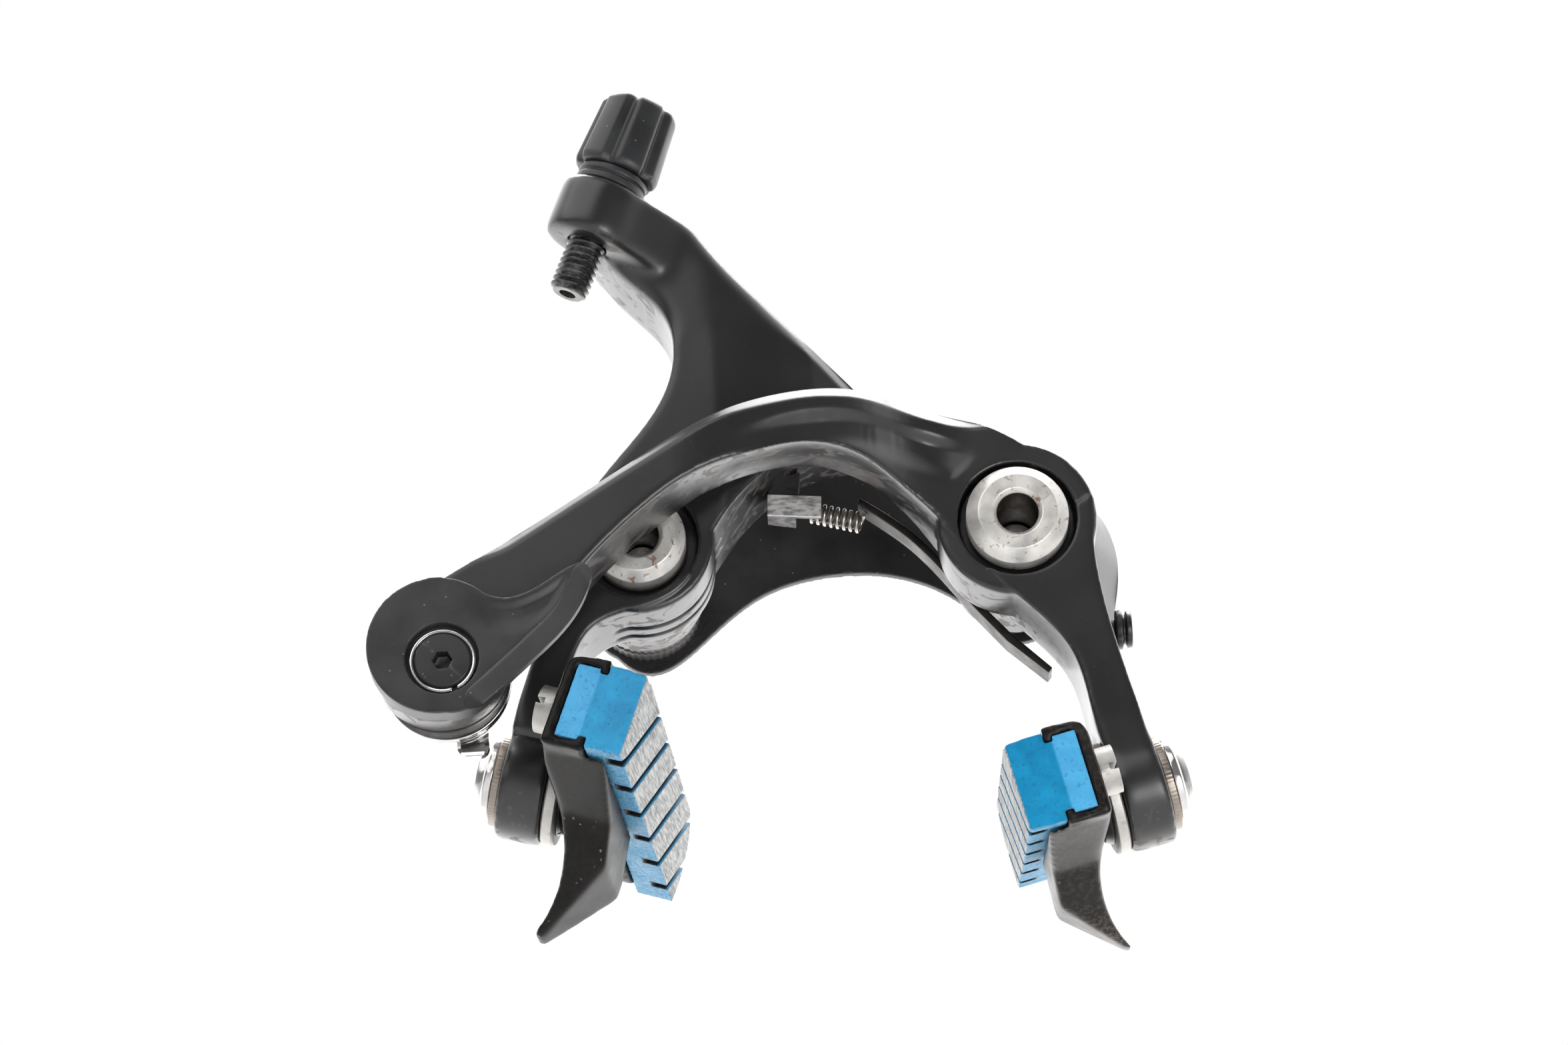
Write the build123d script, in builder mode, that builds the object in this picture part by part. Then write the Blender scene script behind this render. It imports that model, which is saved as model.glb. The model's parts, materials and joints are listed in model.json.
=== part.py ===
"""Direct-mount dual-pivot rim brake caliper, resting fully open with no cable.

Frame: X to the right and Y towards the bicycle frame, both seen from in front of the caliper, Z up.
The origin lies midway between the two frame bolts, on the plane where the caliper meets the frame.
"""
from build123d import *
import math
import os

os.makedirs("parts", exist_ok=True)

# ---- driving dimensions, millimetres ----
PIVOT_SPACING = 56.0
PIVOT_X = PIVOT_SPACING / 2
STACK_DEPTH = 36.0            # frame plane to the bolt seats
BOLT_R = 3.1                  # clearance for an M6 frame bolt
BUSH_R = 5.0
BUSH_FIT = 0.05               # radial running clearance
LINER_R = 6.0
FLANGE_DEPTH = 4.5
BEVEL = 1.7
RECESS_R = 8.8
RECESS_FLOOR = -30.0
PLATE = 1.6                   # booster plate thickness
GAP = 0.1                     # between faces that turn on each other

HUB_FRONT = -33.0
FRONT_HUB_BACK = -5.0
REAR_HUB_BACK = -7.8
LEG_FRONT = -33.4
LEG_BACK = -19.0
SHOE_Y = -25.5                # shoe bolt, half way through the legs
EYE_R = 8.6
EYE_HALF = 3.5
SLOT_TRAVEL = 3.6             # up and down in the eye

ARCH_FRONT = -49.8
ARCH_BACK = -36.8
BOSS_BACK = -44.0
BOSS_CENTRE = (-56.8, -21.4)
BOSS_R = 10.0
LEVER_AXIS = (-56.2, -23.4)
LEVER_FRONT = -54.0
SHAFT_R = 4.0

ADJUSTER_FOOT = (-36.7, -34.5, 39.4)
ADJUSTER_LEAN = 23.0          # degrees from vertical, towards +X
STEM_R = 3.0
EYE_FOOT = 8.2                # along the stem
EYE_TOP = 17.6
KNOB_FOOT = 20.2
STEM_TOP = 24.4
SEAT_FOOT = 27.3             # floor of the cable housing seat
HOUSING_R = 2.55
KNOB_TOP = 32.2

SPACER = 2.0
CUP = 1.3
HOLDER_BACK = EYE_HALF + SPACER + CUP
HOLDER_WALL = 1.9
SHOE_HALF = 27.5
INSERT_HALF = 5.8
INSERT_DEPTH = 3.5
BLOCK_HALF = 6.5
BLOCK_DEPTH = 5.6
GROOVES = 6
GROOVE_PITCH = 9.2
GUIDE_SCOOP = 12.2           # radius of the hollow down the wheel guide's outer side


def disc(radius, y_from, y_to, centre=(0, 0), bore=0.0, mode=Mode.ADD):
    """A round piece along Y, in the current part."""
    with BuildSketch(Plane.XZ.offset(-y_from), mode=Mode.PRIVATE) as face:
        with Locations(centre):
            Circle(radius)
            if bore:
                Circle(bore, mode=Mode.SUBTRACT)
    extrude(face.sketch, amount=y_from - y_to, mode=mode)


def stack(radius, low, high, plane, bore=0.0, mode=Mode.ADD):
    """A round piece along a plane's normal, in the current part."""
    with BuildSketch(plane.offset(low), mode=Mode.PRIVATE) as face:
        Circle(radius)
        if bore:
            Circle(bore, mode=Mode.SUBTRACT)
    extrude(face.sketch, amount=high - low, mode=mode)


def taper(low_r, high_r, low, high, plane, bore=0.0):
    """A cone along a plane's normal, in the current part."""
    with BuildSketch(plane.offset(low), mode=Mode.PRIVATE) as foot:
        Circle(low_r)
    with BuildSketch(plane.offset(high), mode=Mode.PRIVATE) as head:
        Circle(high_r)
    loft([foot.sketch.face(), head.sketch.face()])
    if bore:
        stack(bore, low, high, plane, mode=Mode.SUBTRACT)


def save(piece, name):
    piece.part.label = name
    export_step(piece.part, f"parts/{name}.step")


def slot(plane):
    """The upright slot for the shoe bolt and the flats beside it, cut from the current part."""
    stack(EYE_R + 0.6, EYE_HALF, EYE_HALF + 9, plane, mode=Mode.SUBTRACT)
    stack(EYE_R - 0.6, -EYE_HALF - 9, -EYE_HALF, plane, mode=Mode.SUBTRACT)
    with BuildSketch(plane.offset(-EYE_HALF - 4), mode=Mode.PRIVATE) as face:
        SlotOverall(2 * (STEM_R + 0.3) + SLOT_TRAVEL, 2 * (STEM_R + 0.3), rotation=90)
    extrude(face.sketch, amount=2 * EYE_HALF + 8, mode=Mode.SUBTRACT)


class Side:
    """One brake shoe's place. In both planes x runs along the pad, y up it and z towards the rim."""

    def __init__(self, name, sign, eye, tilt, roll, yaw, pitch, lift, fin):
        lean = math.radians(tilt)
        inward = (sign * math.cos(lean), 0, -math.sin(lean))
        self.name = name
        self.sign = sign
        self.lift = lift
        self.fin = fin
        self.arm = Plane(origin=(eye[0], SHOE_Y, eye[1]), x_dir=(0, sign, 0), z_dir=inward)
        self.shoe = Plane(self.arm.location * Location((0, 0, HOLDER_BACK), (roll, yaw, pitch)))


LEFT = Side("left", 1, (-46.0, -34.2), 16.0, 4.0, -7.0, -4.4, 3.7, -21.2)
RIGHT = Side("right", -1, (42.9, -40.8), 13.0, 0.0, -1.8, -7.5, 1.3, -21.4)
ADJUSTER = Plane(
    origin=ADJUSTER_FOOT,
    x_dir=(0, 1, 0),
    z_dir=(math.sin(math.radians(ADJUSTER_LEAN)), 0, math.cos(math.radians(ADJUSTER_LEAN))),
)
SCREW_PLANE = Plane(origin=(41.3, -14.0, -12.0), x_dir=(0, 1, 0), z_dir=(1, 0, 0))


# ---- front arm: cable end on the left, arch, right pivot, right leg ----
with BuildPart() as front_arm:
    with BuildSketch(Plane.XZ.offset(60)):
        with BuildLine():
            top = Spline((-61, -12.5), (-46, -4.2), (-28, 6.6), (-12, 15.2), (2, 18.7), (15, 18.0), (26, 14.2), (33, 8.6))
            Line((33, 8.6), (25.5, -10.0))
            low = Spline(
                (25.5, -10.0), (21.0, -5.4), (15.6, 2.4), (8.0, 8.8), (0, 11.2), (-8.5, 9.8),
                (-20, 4.0), (-33, -6.4), (-42, -16.5), (-49.0, -25.5),
            )
            Line(low @ 1, top @ 0)
        make_face()
        with Locations(BOSS_CENTRE):
            Circle(BOSS_R)
    extrude(amount=-60)
    with BuildSketch(Plane.XY.offset(-40)):
        with BuildLine():
            Polyline((-46, BOSS_BACK), (-70, BOSS_BACK), (-70, ARCH_FRONT), (-22, ARCH_FRONT))
            front = Spline((-22, ARCH_FRONT), (-6, -46.8), (6, -41.5), (22, HUB_FRONT), tangents=((1, 0), (1, 0)))
            Polyline((22, HUB_FRONT), (42, HUB_FRONT), (42, -16), (16, -16))
            Polyline((16, -16), (7, -24.5), (-3, -30), (-12, -34), (-19, ARCH_BACK), (-42, ARCH_BACK), (-46, BOSS_BACK))
        make_face()
    extrude(amount=80, mode=Mode.INTERSECT)
    disc(11.8, HUB_FRONT, -22, (PIVOT_X, 0))
    disc(9.4, -22, -8, (PIVOT_X, 0))
    disc(RECESS_R - 1.4, -8, FRONT_HUB_BACK, (PIVOT_X, 0))
    # bulge behind the hub, down to the centring screw
    with BuildSketch(Plane.XZ.offset(20)):
        with BuildLine():
            Spline((31, 12.6), (40.6, 8.8), (43.6, 1.5), (42.8, -7), (41.4, -16.4))
            Polyline((41.4, -16.4), (36.0, -15.6), (33.5, -8.5), (28, 2), (31, 12.6))
        make_face()
    extrude(amount=-11)
    # leg, then the eye for the shoe bolt
    with BuildSketch(Plane.XZ.offset(-LEG_FRONT)):
        with BuildLine():
            outer = Spline((39.4, 3.0), (39.2, -8), (41.6, -22), (44.6, -34), (46.2, -40))
            Line((46.2, -40), (39.4, -41.6))
            inner = Spline((39.4, -41.6), (36.8, -31.5), (34.2, -20.6), (26.0, -10.8), (22.6, -6.4))
            Line(inner @ 1, outer @ 0)
        make_face()
    extrude(amount=LEG_FRONT - LEG_BACK)
    stack(EYE_R, -EYE_HALF, EYE_HALF, RIGHT.arm)
    disc(RECESS_R, HUB_FRONT - 6, RECESS_FLOOR, (PIVOT_X, 0), mode=Mode.SUBTRACT)
    disc(LINER_R, RECESS_FLOOR, FRONT_HUB_BACK, (PIVOT_X, 0), mode=Mode.SUBTRACT)
    disc(SHAFT_R + BUSH_FIT, ARCH_FRONT, BOSS_BACK, LEVER_AXIS, mode=Mode.SUBTRACT)
    slot(RIGHT.arm)
    stack(1.55, -12, 6, SCREW_PLANE, mode=Mode.SUBTRACT)
save(front_arm, "front_arm")


# ---- rear arm: adjuster eye at the top, left pivot, left leg ----
with BuildPart() as rear_arm:
    with BuildSketch(Plane.XZ.offset(33)):
        with BuildLine():
            right = Spline(
                (-26.0, 57.6), (-21.6, 55.0), (-15.0, 46.4), (-7.0, 37.8), (1.0, 30.0), (8.5, 22.6), (11.5, 17.6)
            )
            Line((11.5, 17.6), (8.0, 15.4))
            low = Spline((8.0, 15.4), (-4.0, 13.6), (-12.5, 7.0), (-18.6, -1.6), (-22.6, -6.6))
            Line((-22.6, -6.6), (-39.0, -4.0))
            left = Spline((-39.0, -4.0), (-36.8, 5.0), (-30.0, 14.0), (-22.8, 24.0), (-21.4, 31.0), (-24.4, 38.6))
            Polyline((-24.4, 38.6), (-29.5, 43.6), (-34.5, 50.0), (-32.0, 56.2), (-26.0, 57.6))
        make_face()
    extrude(amount=-21)
    with BuildSketch(Plane.XY.offset(-10)):
        with BuildLine():
            Polyline((-42, HUB_FRONT), (-15, HUB_FRONT), (-9, -31.0), (-1, -27.6), (6, -23.0), (12.5, -17.6))
            Polyline((12.5, -17.6), (12.5, -12), (-20, -14), (-42, LEG_BACK), (-42, HUB_FRONT))
        make_face()
    extrude(amount=70, mode=Mode.INTERSECT)
    stack(6.9, EYE_FOOT, EYE_TOP, ADJUSTER)
    # web from the adjuster's eye back into the arm
    with BuildSketch(ADJUSTER.offset(EYE_FOOT)):
        Polygon((-6.4, -2.6), (-2.6, -7.2), (1.1, -12.2), (9.0, -12.2), (11.0, -2.0), (6.4, 2.6), align=None)
    extrude(amount=EYE_TOP - EYE_FOOT)
    disc(11.0, HUB_FRONT, -18.5, (-PIVOT_X, 0))
    disc(9.6, -18.5, -12, (-PIVOT_X, 0))
    disc(8.8, -12, REAR_HUB_BACK, (-PIVOT_X, 0))
    # leg, then the eye for the shoe bolt
    with BuildSketch(Plane.XZ.offset(-LEG_FRONT)):
        with BuildLine():
            outer = Spline((-37.6, 4.0), (-41.0, -8.0), (-44.8, -18.4), (-48.0, -28.0))
            Line((-48.0, -28.0), (-41.0, -30.0))
            inner = Spline((-41.0, -30.0), (-38.8, -19.0), (-35.4, -13.0), (-27.0, -10.0), (-20.6, -5.6))
            Line(inner @ 1, (-24.0, 2.0))
            Line((-24.0, 2.0), outer @ 0)
        make_face()
    extrude(amount=LEG_FRONT - LEG_BACK)
    stack(EYE_R, -EYE_HALF, EYE_HALF, LEFT.arm)
    disc(RECESS_R, HUB_FRONT - 6, RECESS_FLOOR, (-PIVOT_X, 0), mode=Mode.SUBTRACT)
    disc(LINER_R, RECESS_FLOOR, REAR_HUB_BACK, (-PIVOT_X, 0), mode=Mode.SUBTRACT)
    slot(LEFT.arm)
    stack(STEM_R + BUSH_FIT, -10, 40, ADJUSTER, mode=Mode.SUBTRACT)
    stack(24, EYE_TOP, 40, ADJUSTER, mode=Mode.SUBTRACT)
save(rear_arm, "rear_arm")


# ---- booster plate joining the two pivots behind the arms ----
with BuildPart() as booster_plate:
    with BuildSketch(Plane.XZ):
        with BuildLine():
            Spline((-33.0, -7.2), (-27.4, -10.2), (-18.9, -5.0), (-10.1, 1.4), (0, 3.9), (10.0, 3.2), (22.1, -3.7))
            Line((22.1, -3.7), (26.0, -8.6))
            ThreePointArc((26.0, -8.6), (36.8, 0.4), (27.0, 8.8))
            Spline((27.0, 8.8), (15, 18.0), (0, 21.5), (-15, 18.0), (-27.0, 8.8))
            Spline((-27.0, 8.8), (-36.4, 3.0), (-36.2, -3.8), (-33.0, -7.2))
        make_face()
        with Locations((-PIVOT_X, 0), (PIVOT_X, 0)):
            Circle(BOLT_R, mode=Mode.SUBTRACT)
    extrude(amount=PLATE)
save(booster_plate, "booster_plate")


# ---- pivots ----
for side, x, flange, flat in (("right", PIVOT_X, 7.6, 5.8), ("left", -PIVOT_X, 7.0, 5.6)):
    seat = Plane.XZ.offset(0).move(Location((x, 0, 0)))
    with BuildPart() as bush:
        stack(BUSH_R, PLATE, STACK_DEPTH - FLANGE_DEPTH, seat)
        stack(flange, STACK_DEPTH - FLANGE_DEPTH, STACK_DEPTH - BEVEL, seat)
        taper(flange, flat, STACK_DEPTH - BEVEL, STACK_DEPTH, seat)
        stack(BOLT_R, PLATE, STACK_DEPTH, seat, mode=Mode.SUBTRACT)
    save(bush, f"{side}_pivot_bush")
    hub_back = -FRONT_HUB_BACK if x > 0 else -REAR_HUB_BACK
    with BuildPart() as liner:
        stack(LINER_R, hub_back, -RECESS_FLOOR, seat, BUSH_R + BUSH_FIT)
    save(liner, f"{side}_plain_bearing")
    with BuildPart() as seal:
        stack(7.2, -RECESS_FLOOR, STACK_DEPTH - FLANGE_DEPTH - GAP, seat, BUSH_R + 0.3)
    save(seal, f"{side}_seal_ring")

with BuildPart() as right_rear_washer:
    disc(7.4, FRONT_HUB_BACK + GAP, -PLATE, (PIVOT_X, 0), BUSH_R)
save(right_rear_washer, "right_rear_washer")

with BuildPart() as left_rear_ring:
    disc(8.2, REAR_HUB_BACK + GAP, -5.2, (-PIVOT_X, 0), BUSH_R)
    disc(7.6, -5.2, -4.4, (-PIVOT_X, 0), BUSH_R)
    disc(8.2, -4.4, -PLATE, (-PIVOT_X, 0), BUSH_R)
save(left_rear_ring, "left_rear_ring")


# ---- return spring, its seat and the strip that loads it ----
SPRING_START = (-2.4, -20.0, 7.6)
SPRING_LENGTH = 8.0
with BuildPart() as return_spring:
    with BuildLine():
        coil = Helix(SPRING_LENGTH / 8, SPRING_LENGTH, 1.35, center=SPRING_START, direction=(0.96, 0, -0.28))
    with BuildSketch(Plane(origin=coil @ 0, z_dir=coil % 0)):
        Circle(0.3)
    sweep(path=coil, is_frenet=True)
save(return_spring, "return_spring")

with BuildPart() as spring_seat:
    with BuildSketch(Plane.XZ.offset(22.4)):
        Polygon((-8.8, 6.8), (-4.6, 6.0), (-3.6, 13.2), (-6.4, 12.6), (-8.4, 10.6), align=None)
    extrude(amount=-4.6)
    with BuildSketch(Plane.XZ.offset(23.4)):
        Polygon((-8.8, 6.4), (-0.8, 5.6), (-0.6, 8.8), (-8.6, 9.6), align=None)
    extrude(amount=-1.2)
    add(rear_arm.part, mode=Mode.SUBTRACT)
save(spring_seat, "spring_seat")

with BuildPart() as spring_lever:
    with BuildSketch(Plane.XZ.offset(21.8)):
        with BuildLine():
            upper = Spline((5.0, 8.9), (7.9, 6.9), (12.2, 3.3), (17.3, -2.5), (21.7, -8.6))
            Polyline((21.7, -8.6), (26.6, -14.4), (32.0, -19.8), (31.4, -20.6), (25.6, -15.2))
            Line((25.6, -15.2), (20.9, -9.4))
            under = Spline((20.9, -9.4), (16.5, -3.3), (11.5, 2.4), (7.3, 5.9), (4.8, 7.9))
            Line((4.8, 7.9), (5.0, 8.9))
        make_face()
    extrude(amount=-4.8)
save(spring_lever, "spring_lever")


# ---- centring screw ----
with BuildPart() as centring_screw:
    stack(1.5, -8, 1.2, SCREW_PLANE)
    stack(3.0, 1.2, 3.4, SCREW_PLANE)
    with BuildSketch(SCREW_PLANE.offset(3.4)):
        RegularPolygon(1.2, 6)
    extrude(amount=-1.5, mode=Mode.SUBTRACT)
save(centring_screw, "centring_screw")


# ---- cable adjuster ----
with BuildPart() as adjuster_stem:
    stack(STEM_R, 0, STEM_TOP, ADJUSTER, 1.3)
save(adjuster_stem, "adjuster_stem")

with BuildPart() as adjuster_detent:
    stack(5.4, EYE_TOP, KNOB_FOOT - GAP, ADJUSTER, STEM_R + 0.3)
save(adjuster_detent, "adjuster_detent")

with BuildPart() as adjuster_knob:
    taper(6.5, 5.6, KNOB_FOOT, KNOB_TOP, ADJUSTER)
    with BuildSketch(ADJUSTER.offset(KNOB_FOOT)):
        with PolarLocations(7.9, 6):
            Circle(2.1)
    extrude(amount=KNOB_TOP - KNOB_FOOT, mode=Mode.SUBTRACT)
    stack(STEM_R + BUSH_FIT, KNOB_FOOT, SEAT_FOOT - 0.3, ADJUSTER, mode=Mode.SUBTRACT)
    stack(1.6, KNOB_FOOT, SEAT_FOOT, ADJUSTER, mode=Mode.SUBTRACT)
    stack(HOUSING_R, SEAT_FOOT, KNOB_TOP, ADJUSTER, mode=Mode.SUBTRACT)
save(adjuster_knob, "adjuster_knob")


# ---- quick release and cable clamp ----
with BuildPart() as quick_release_lever:
    with BuildSketch(Plane.XZ.offset(-LEVER_FRONT)):
        with BuildLine():
            above = Spline((-60, -12.0), (-53.0, -12.2), (-47.4, -14.8), (-42.8, -13.8), (-38.4, -11.2), (-36.0, -10.2))
            tip = ThreePointArc((-36.0, -10.2), (-34.6, -10.9), (-34.7, -12.4))
            below = Spline((-34.7, -12.4), (-37.8, -18.2), (-42.4, -22.8), (-47.2, -27.0), (-52.0, -31.0), (-58, -31.0))
            Line(below @ 1, above @ 0)
        make_face()
        with Locations(BOSS_CENTRE):
            Circle(BOSS_R + 0.2)
    extrude(amount=LEVER_FRONT - ARCH_FRONT + GAP)
    disc(5.3, LEVER_FRONT, LEVER_FRONT + 1.9, LEVER_AXIS, mode=Mode.SUBTRACT)
    disc(SHAFT_R, LEVER_FRONT, ARCH_FRONT, LEVER_AXIS, mode=Mode.SUBTRACT)
save(quick_release_lever, "quick_release_lever")

with BuildPart() as lever_circlip:
    disc(4.8, LEVER_FRONT + 1.3, LEVER_FRONT + 1.9, LEVER_AXIS, 4.25)
    with BuildSketch(Plane.XZ.offset(-LEVER_FRONT)):
        with Locations((LEVER_AXIS[0] + 1.6, LEVER_AXIS[1] - 4.4)):
            Rectangle(0.7, 1.6)
    extrude(amount=-3, mode=Mode.SUBTRACT)
save(lever_circlip, "lever_circlip")

with BuildPart() as lever_screw:
    disc(4.2, LEVER_FRONT + 1.0, LEVER_FRONT + 1.9, LEVER_AXIS)
    disc(2.4, LEVER_FRONT + 1.9, LEVER_FRONT + 6, LEVER_AXIS)
    with BuildSketch(Plane.XZ.offset(-LEVER_FRONT)):
        with Locations(LEVER_AXIS):
            RegularPolygon(1.45, 6)
    extrude(amount=-4, mode=Mode.SUBTRACT)
save(lever_screw, "lever_screw")

with BuildPart() as release_shaft:
    disc(SHAFT_R, LEVER_FRONT + 1.9, BOSS_BACK + 0.4, LEVER_AXIS)
    disc(2.4, LEVER_FRONT + 1.9, LEVER_FRONT + 6, LEVER_AXIS, mode=Mode.SUBTRACT)
save(release_shaft, "release_shaft")

CLAMP_Y = -41.5
with BuildPart() as cable_clamp_washer:
    disc(8.2, BOSS_BACK, CLAMP_Y, LEVER_AXIS)
    disc(SHAFT_R + 0.3, BOSS_BACK, BOSS_BACK + 0.6, LEVER_AXIS, mode=Mode.SUBTRACT)
    disc(2.6, BOSS_BACK, CLAMP_Y, LEVER_AXIS, mode=Mode.SUBTRACT)
save(cable_clamp_washer, "cable_clamp_washer")

with BuildPart() as cable_clamp_plate:
    with BuildSketch(Plane.XZ.offset(-CLAMP_Y)):
        with Locations(LEVER_AXIS):
            Circle(7.2)
            with Locations((3.2, -7.4)):
                RectangleRounded(4.6, 7.2, 1.4)
    extrude(amount=-1.6)
    with BuildSketch(Plane.XZ.offset(-CLAMP_Y)):
        with Locations((LEVER_AXIS[0] + 3.2, LEVER_AXIS[1] - 10.2)):
            Rectangle(3.4, 1.4)
    extrude(amount=1.6)
    disc(2.6, CLAMP_Y, CLAMP_Y + 1.6, LEVER_AXIS, mode=Mode.SUBTRACT)
save(cable_clamp_plate, "cable_clamp_plate")

with BuildPart() as cable_clamp_bolt:
    disc(2.5, BOSS_BACK + 0.7, -36.4, LEVER_AXIS)
    with BuildSketch(Plane.XZ.offset(-CLAMP_Y - 1.6)):
        with Locations(LEVER_AXIS):
            RegularPolygon(4.6, 6)
    extrude(amount=-3.5)
save(cable_clamp_bolt, "cable_clamp_bolt")


# ---- brake shoes ----
for side in (LEFT, RIGHT):
    near = -side.sign * SHOE_HALF
    far = -near
    mid = side.lift
    shoe = side.shoe

    with BuildPart() as holder:
        with BuildSketch(shoe):
            with BuildLine():
                Line((near, mid + 7.2), (far * 0.72, mid + 6.6))
                ThreePointArc((far * 0.72, mid + 6.6), (far, mid - 0.4), (far * 0.72, mid - 7.4))
                Line((far * 0.72, mid - 7.4), (near, mid - 7.2))
                Line((near, mid - 7.2), (near, mid + 7.2))
            make_face()
        extrude(amount=HOLDER_WALL + INSERT_DEPTH + 1.1)
        with BuildSketch(shoe.offset(HOLDER_WALL)):
            with Locations((-far * 0.12, mid)):
                Rectangle(1.76 * SHOE_HALF, 2 * INSERT_HALF)
        extrude(amount=INSERT_DEPTH, mode=Mode.SUBTRACT)
        with BuildSketch(shoe.offset(HOLDER_WALL)):
            with Locations((-far * 0.12, mid)):
                Rectangle(1.76 * SHOE_HALF, 2 * INSERT_HALF - 1.4)
        extrude(amount=INSERT_DEPTH + 3, mode=Mode.SUBTRACT)
        # wheel guide below the holder
        with BuildSketch(shoe):
            Polygon(
                (near * 0.92, mid - 7.0), (near * 0.4, mid - 11.0), (far * 0.16, side.fin), (far * 0.30, side.fin),
                (far * 0.26, mid - 13.0), (far * 0.1, mid - 7.0), align=None,
            )
        extrude(amount=9.6)
        guide_end = Plane(shoe.location * Location((0, 0, 0), (0, 90, 0)))
        with BuildSketch(guide_end.offset(-SHOE_HALF)):
            Polygon((-1.2, -26), (-10.6, -26), (-10.6, mid - 14.4), (-1.2, side.fin), align=None)
            with Locations((GUIDE_SCOOP - 3.0, (mid - 7.2 + side.fin) / 2)):
                Circle(GUIDE_SCOOP)
        extrude(amount=2 * SHOE_HALF, mode=Mode.SUBTRACT)
    save(holder, f"{side.name}_pad_holder")

    with BuildPart() as pad:
        with BuildSketch(shoe.offset(HOLDER_WALL)):
            with Locations((-far * 0.12, mid)):
                Rectangle(1.76 * SHOE_HALF - 0.2, 2 * INSERT_HALF - 0.2)
        extrude(amount=INSERT_DEPTH - 0.1)
        with BuildSketch(shoe.offset(HOLDER_WALL + INSERT_DEPTH - 0.1)):
            with Locations((-far * 0.12, mid)):
                Rectangle(1.76 * SHOE_HALF - 0.2, 2 * INSERT_HALF - 1.6)
        extrude(amount=1.3)
        with BuildSketch(shoe.offset(HOLDER_WALL + INSERT_DEPTH + 1.2)):
            with BuildLine():
                Line((near, mid + BLOCK_HALF), (far * 0.7, mid + BLOCK_HALF - 0.8))
                ThreePointArc(
                    (far * 0.7, mid + BLOCK_HALF - 0.8), (far * 0.98, mid), (far, mid - BLOCK_HALF)
                )
                Line((far, mid - BLOCK_HALF), (near, mid - BLOCK_HALF))
                Line((near, mid - BLOCK_HALF), (near, mid + BLOCK_HALF))
            make_face()
        extrude(amount=BLOCK_DEPTH)
        with BuildSketch(shoe.offset(HOLDER_WALL + INSERT_DEPTH + 1.2 + BLOCK_DEPTH)):
            for n in range(GROOVES):
                foot = near * 0.87 - math.copysign(n * GROOVE_PITCH, near)
                with Locations(Location((foot - math.copysign(5.2, near), mid, 0), (0, 0, side.sign * -39))):
                    Rectangle(1.1, 24)
        extrude(amount=-2.4, mode=Mode.SUBTRACT)
    save(pad, f"{side.name}_brake_pad")

    screw_seat = Plane(shoe.location * Location((near * 0.82, mid - 0.6, 0)))
    with BuildPart() as pad_screw:
        stack(3.5, -2.6, 0, screw_seat)
        with BuildSketch(screw_seat.offset(-2.6)):
            Rectangle(8, 1.0)
        extrude(amount=1.2, mode=Mode.SUBTRACT)
    save(pad_screw, f"{side.name}_pad_screw")

    with BuildPart() as cup:
        taper(6.6, 5.2, EYE_HALF + SPACER + GAP, HOLDER_BACK + 1.6, side.arm, STEM_R)
        with BuildSketch(shoe):
            Circle(20)
        extrude(amount=8, mode=Mode.SUBTRACT)
    save(cup, f"{side.name}_toe_cup")

    with BuildPart() as spacer:
        stack(8.3, EYE_HALF, EYE_HALF + SPACER, side.arm, STEM_R + 0.3)
    save(spacer, f"{side.name}_toe_spacer")

    with BuildPart() as washer:
        stack(7.0, -EYE_HALF - 1.1, -EYE_HALF, side.arm, STEM_R + 0.3)
    save(washer, f"{side.name}_serrated_washer")

    with BuildPart() as bolt:
        stack(STEM_R, -EYE_HALF - 3.8, HOLDER_BACK + 1.6, side.arm)
        with BuildSketch(shoe):
            Circle(20)
        extrude(amount=8, mode=Mode.SUBTRACT)
    save(bolt, f"{side.name}_shoe_bolt")

    with BuildPart() as nut:
        taper(4.0, 5.4, -EYE_HALF - 4.2, -EYE_HALF - 2.6, side.arm, STEM_R)
        stack(6.4, -EYE_HALF - 2.6, -EYE_HALF - 1.1 - GAP, side.arm, STEM_R)
    save(nut, f"{side.name}_dome_nut")
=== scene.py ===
"""Looks of a direct-mount rim brake caliper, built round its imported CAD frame.

Lengths are in millimetres and angles in degrees, apart from the stage at the end, which is in
metres. Meshes are made in metres, in the CAD's frame: X to the right seen from the front,
Y towards the bicycle frame, Z up.
"""
import json
import math

import bpy
import numpy as np
from mathutils import Matrix, Vector

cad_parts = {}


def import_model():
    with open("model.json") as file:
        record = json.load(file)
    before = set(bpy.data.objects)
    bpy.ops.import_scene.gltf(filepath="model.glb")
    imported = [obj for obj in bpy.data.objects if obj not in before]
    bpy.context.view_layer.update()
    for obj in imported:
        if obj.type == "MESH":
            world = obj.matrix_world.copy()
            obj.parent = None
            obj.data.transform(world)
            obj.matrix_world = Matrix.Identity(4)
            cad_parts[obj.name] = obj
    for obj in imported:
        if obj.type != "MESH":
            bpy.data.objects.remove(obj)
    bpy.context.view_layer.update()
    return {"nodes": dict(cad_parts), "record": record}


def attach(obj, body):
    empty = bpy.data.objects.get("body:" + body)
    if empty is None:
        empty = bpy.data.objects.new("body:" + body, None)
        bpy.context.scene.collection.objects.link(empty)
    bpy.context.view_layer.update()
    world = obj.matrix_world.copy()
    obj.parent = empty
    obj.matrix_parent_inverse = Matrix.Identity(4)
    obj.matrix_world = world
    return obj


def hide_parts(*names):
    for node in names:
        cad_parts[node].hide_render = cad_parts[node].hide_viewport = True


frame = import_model()
MM = 0.001
NODES = frame["nodes"]
BODY = {
    node: body
    for body, members in frame["record"]["behaviour"]["bodies"].items()
    for node in members
}

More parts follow.
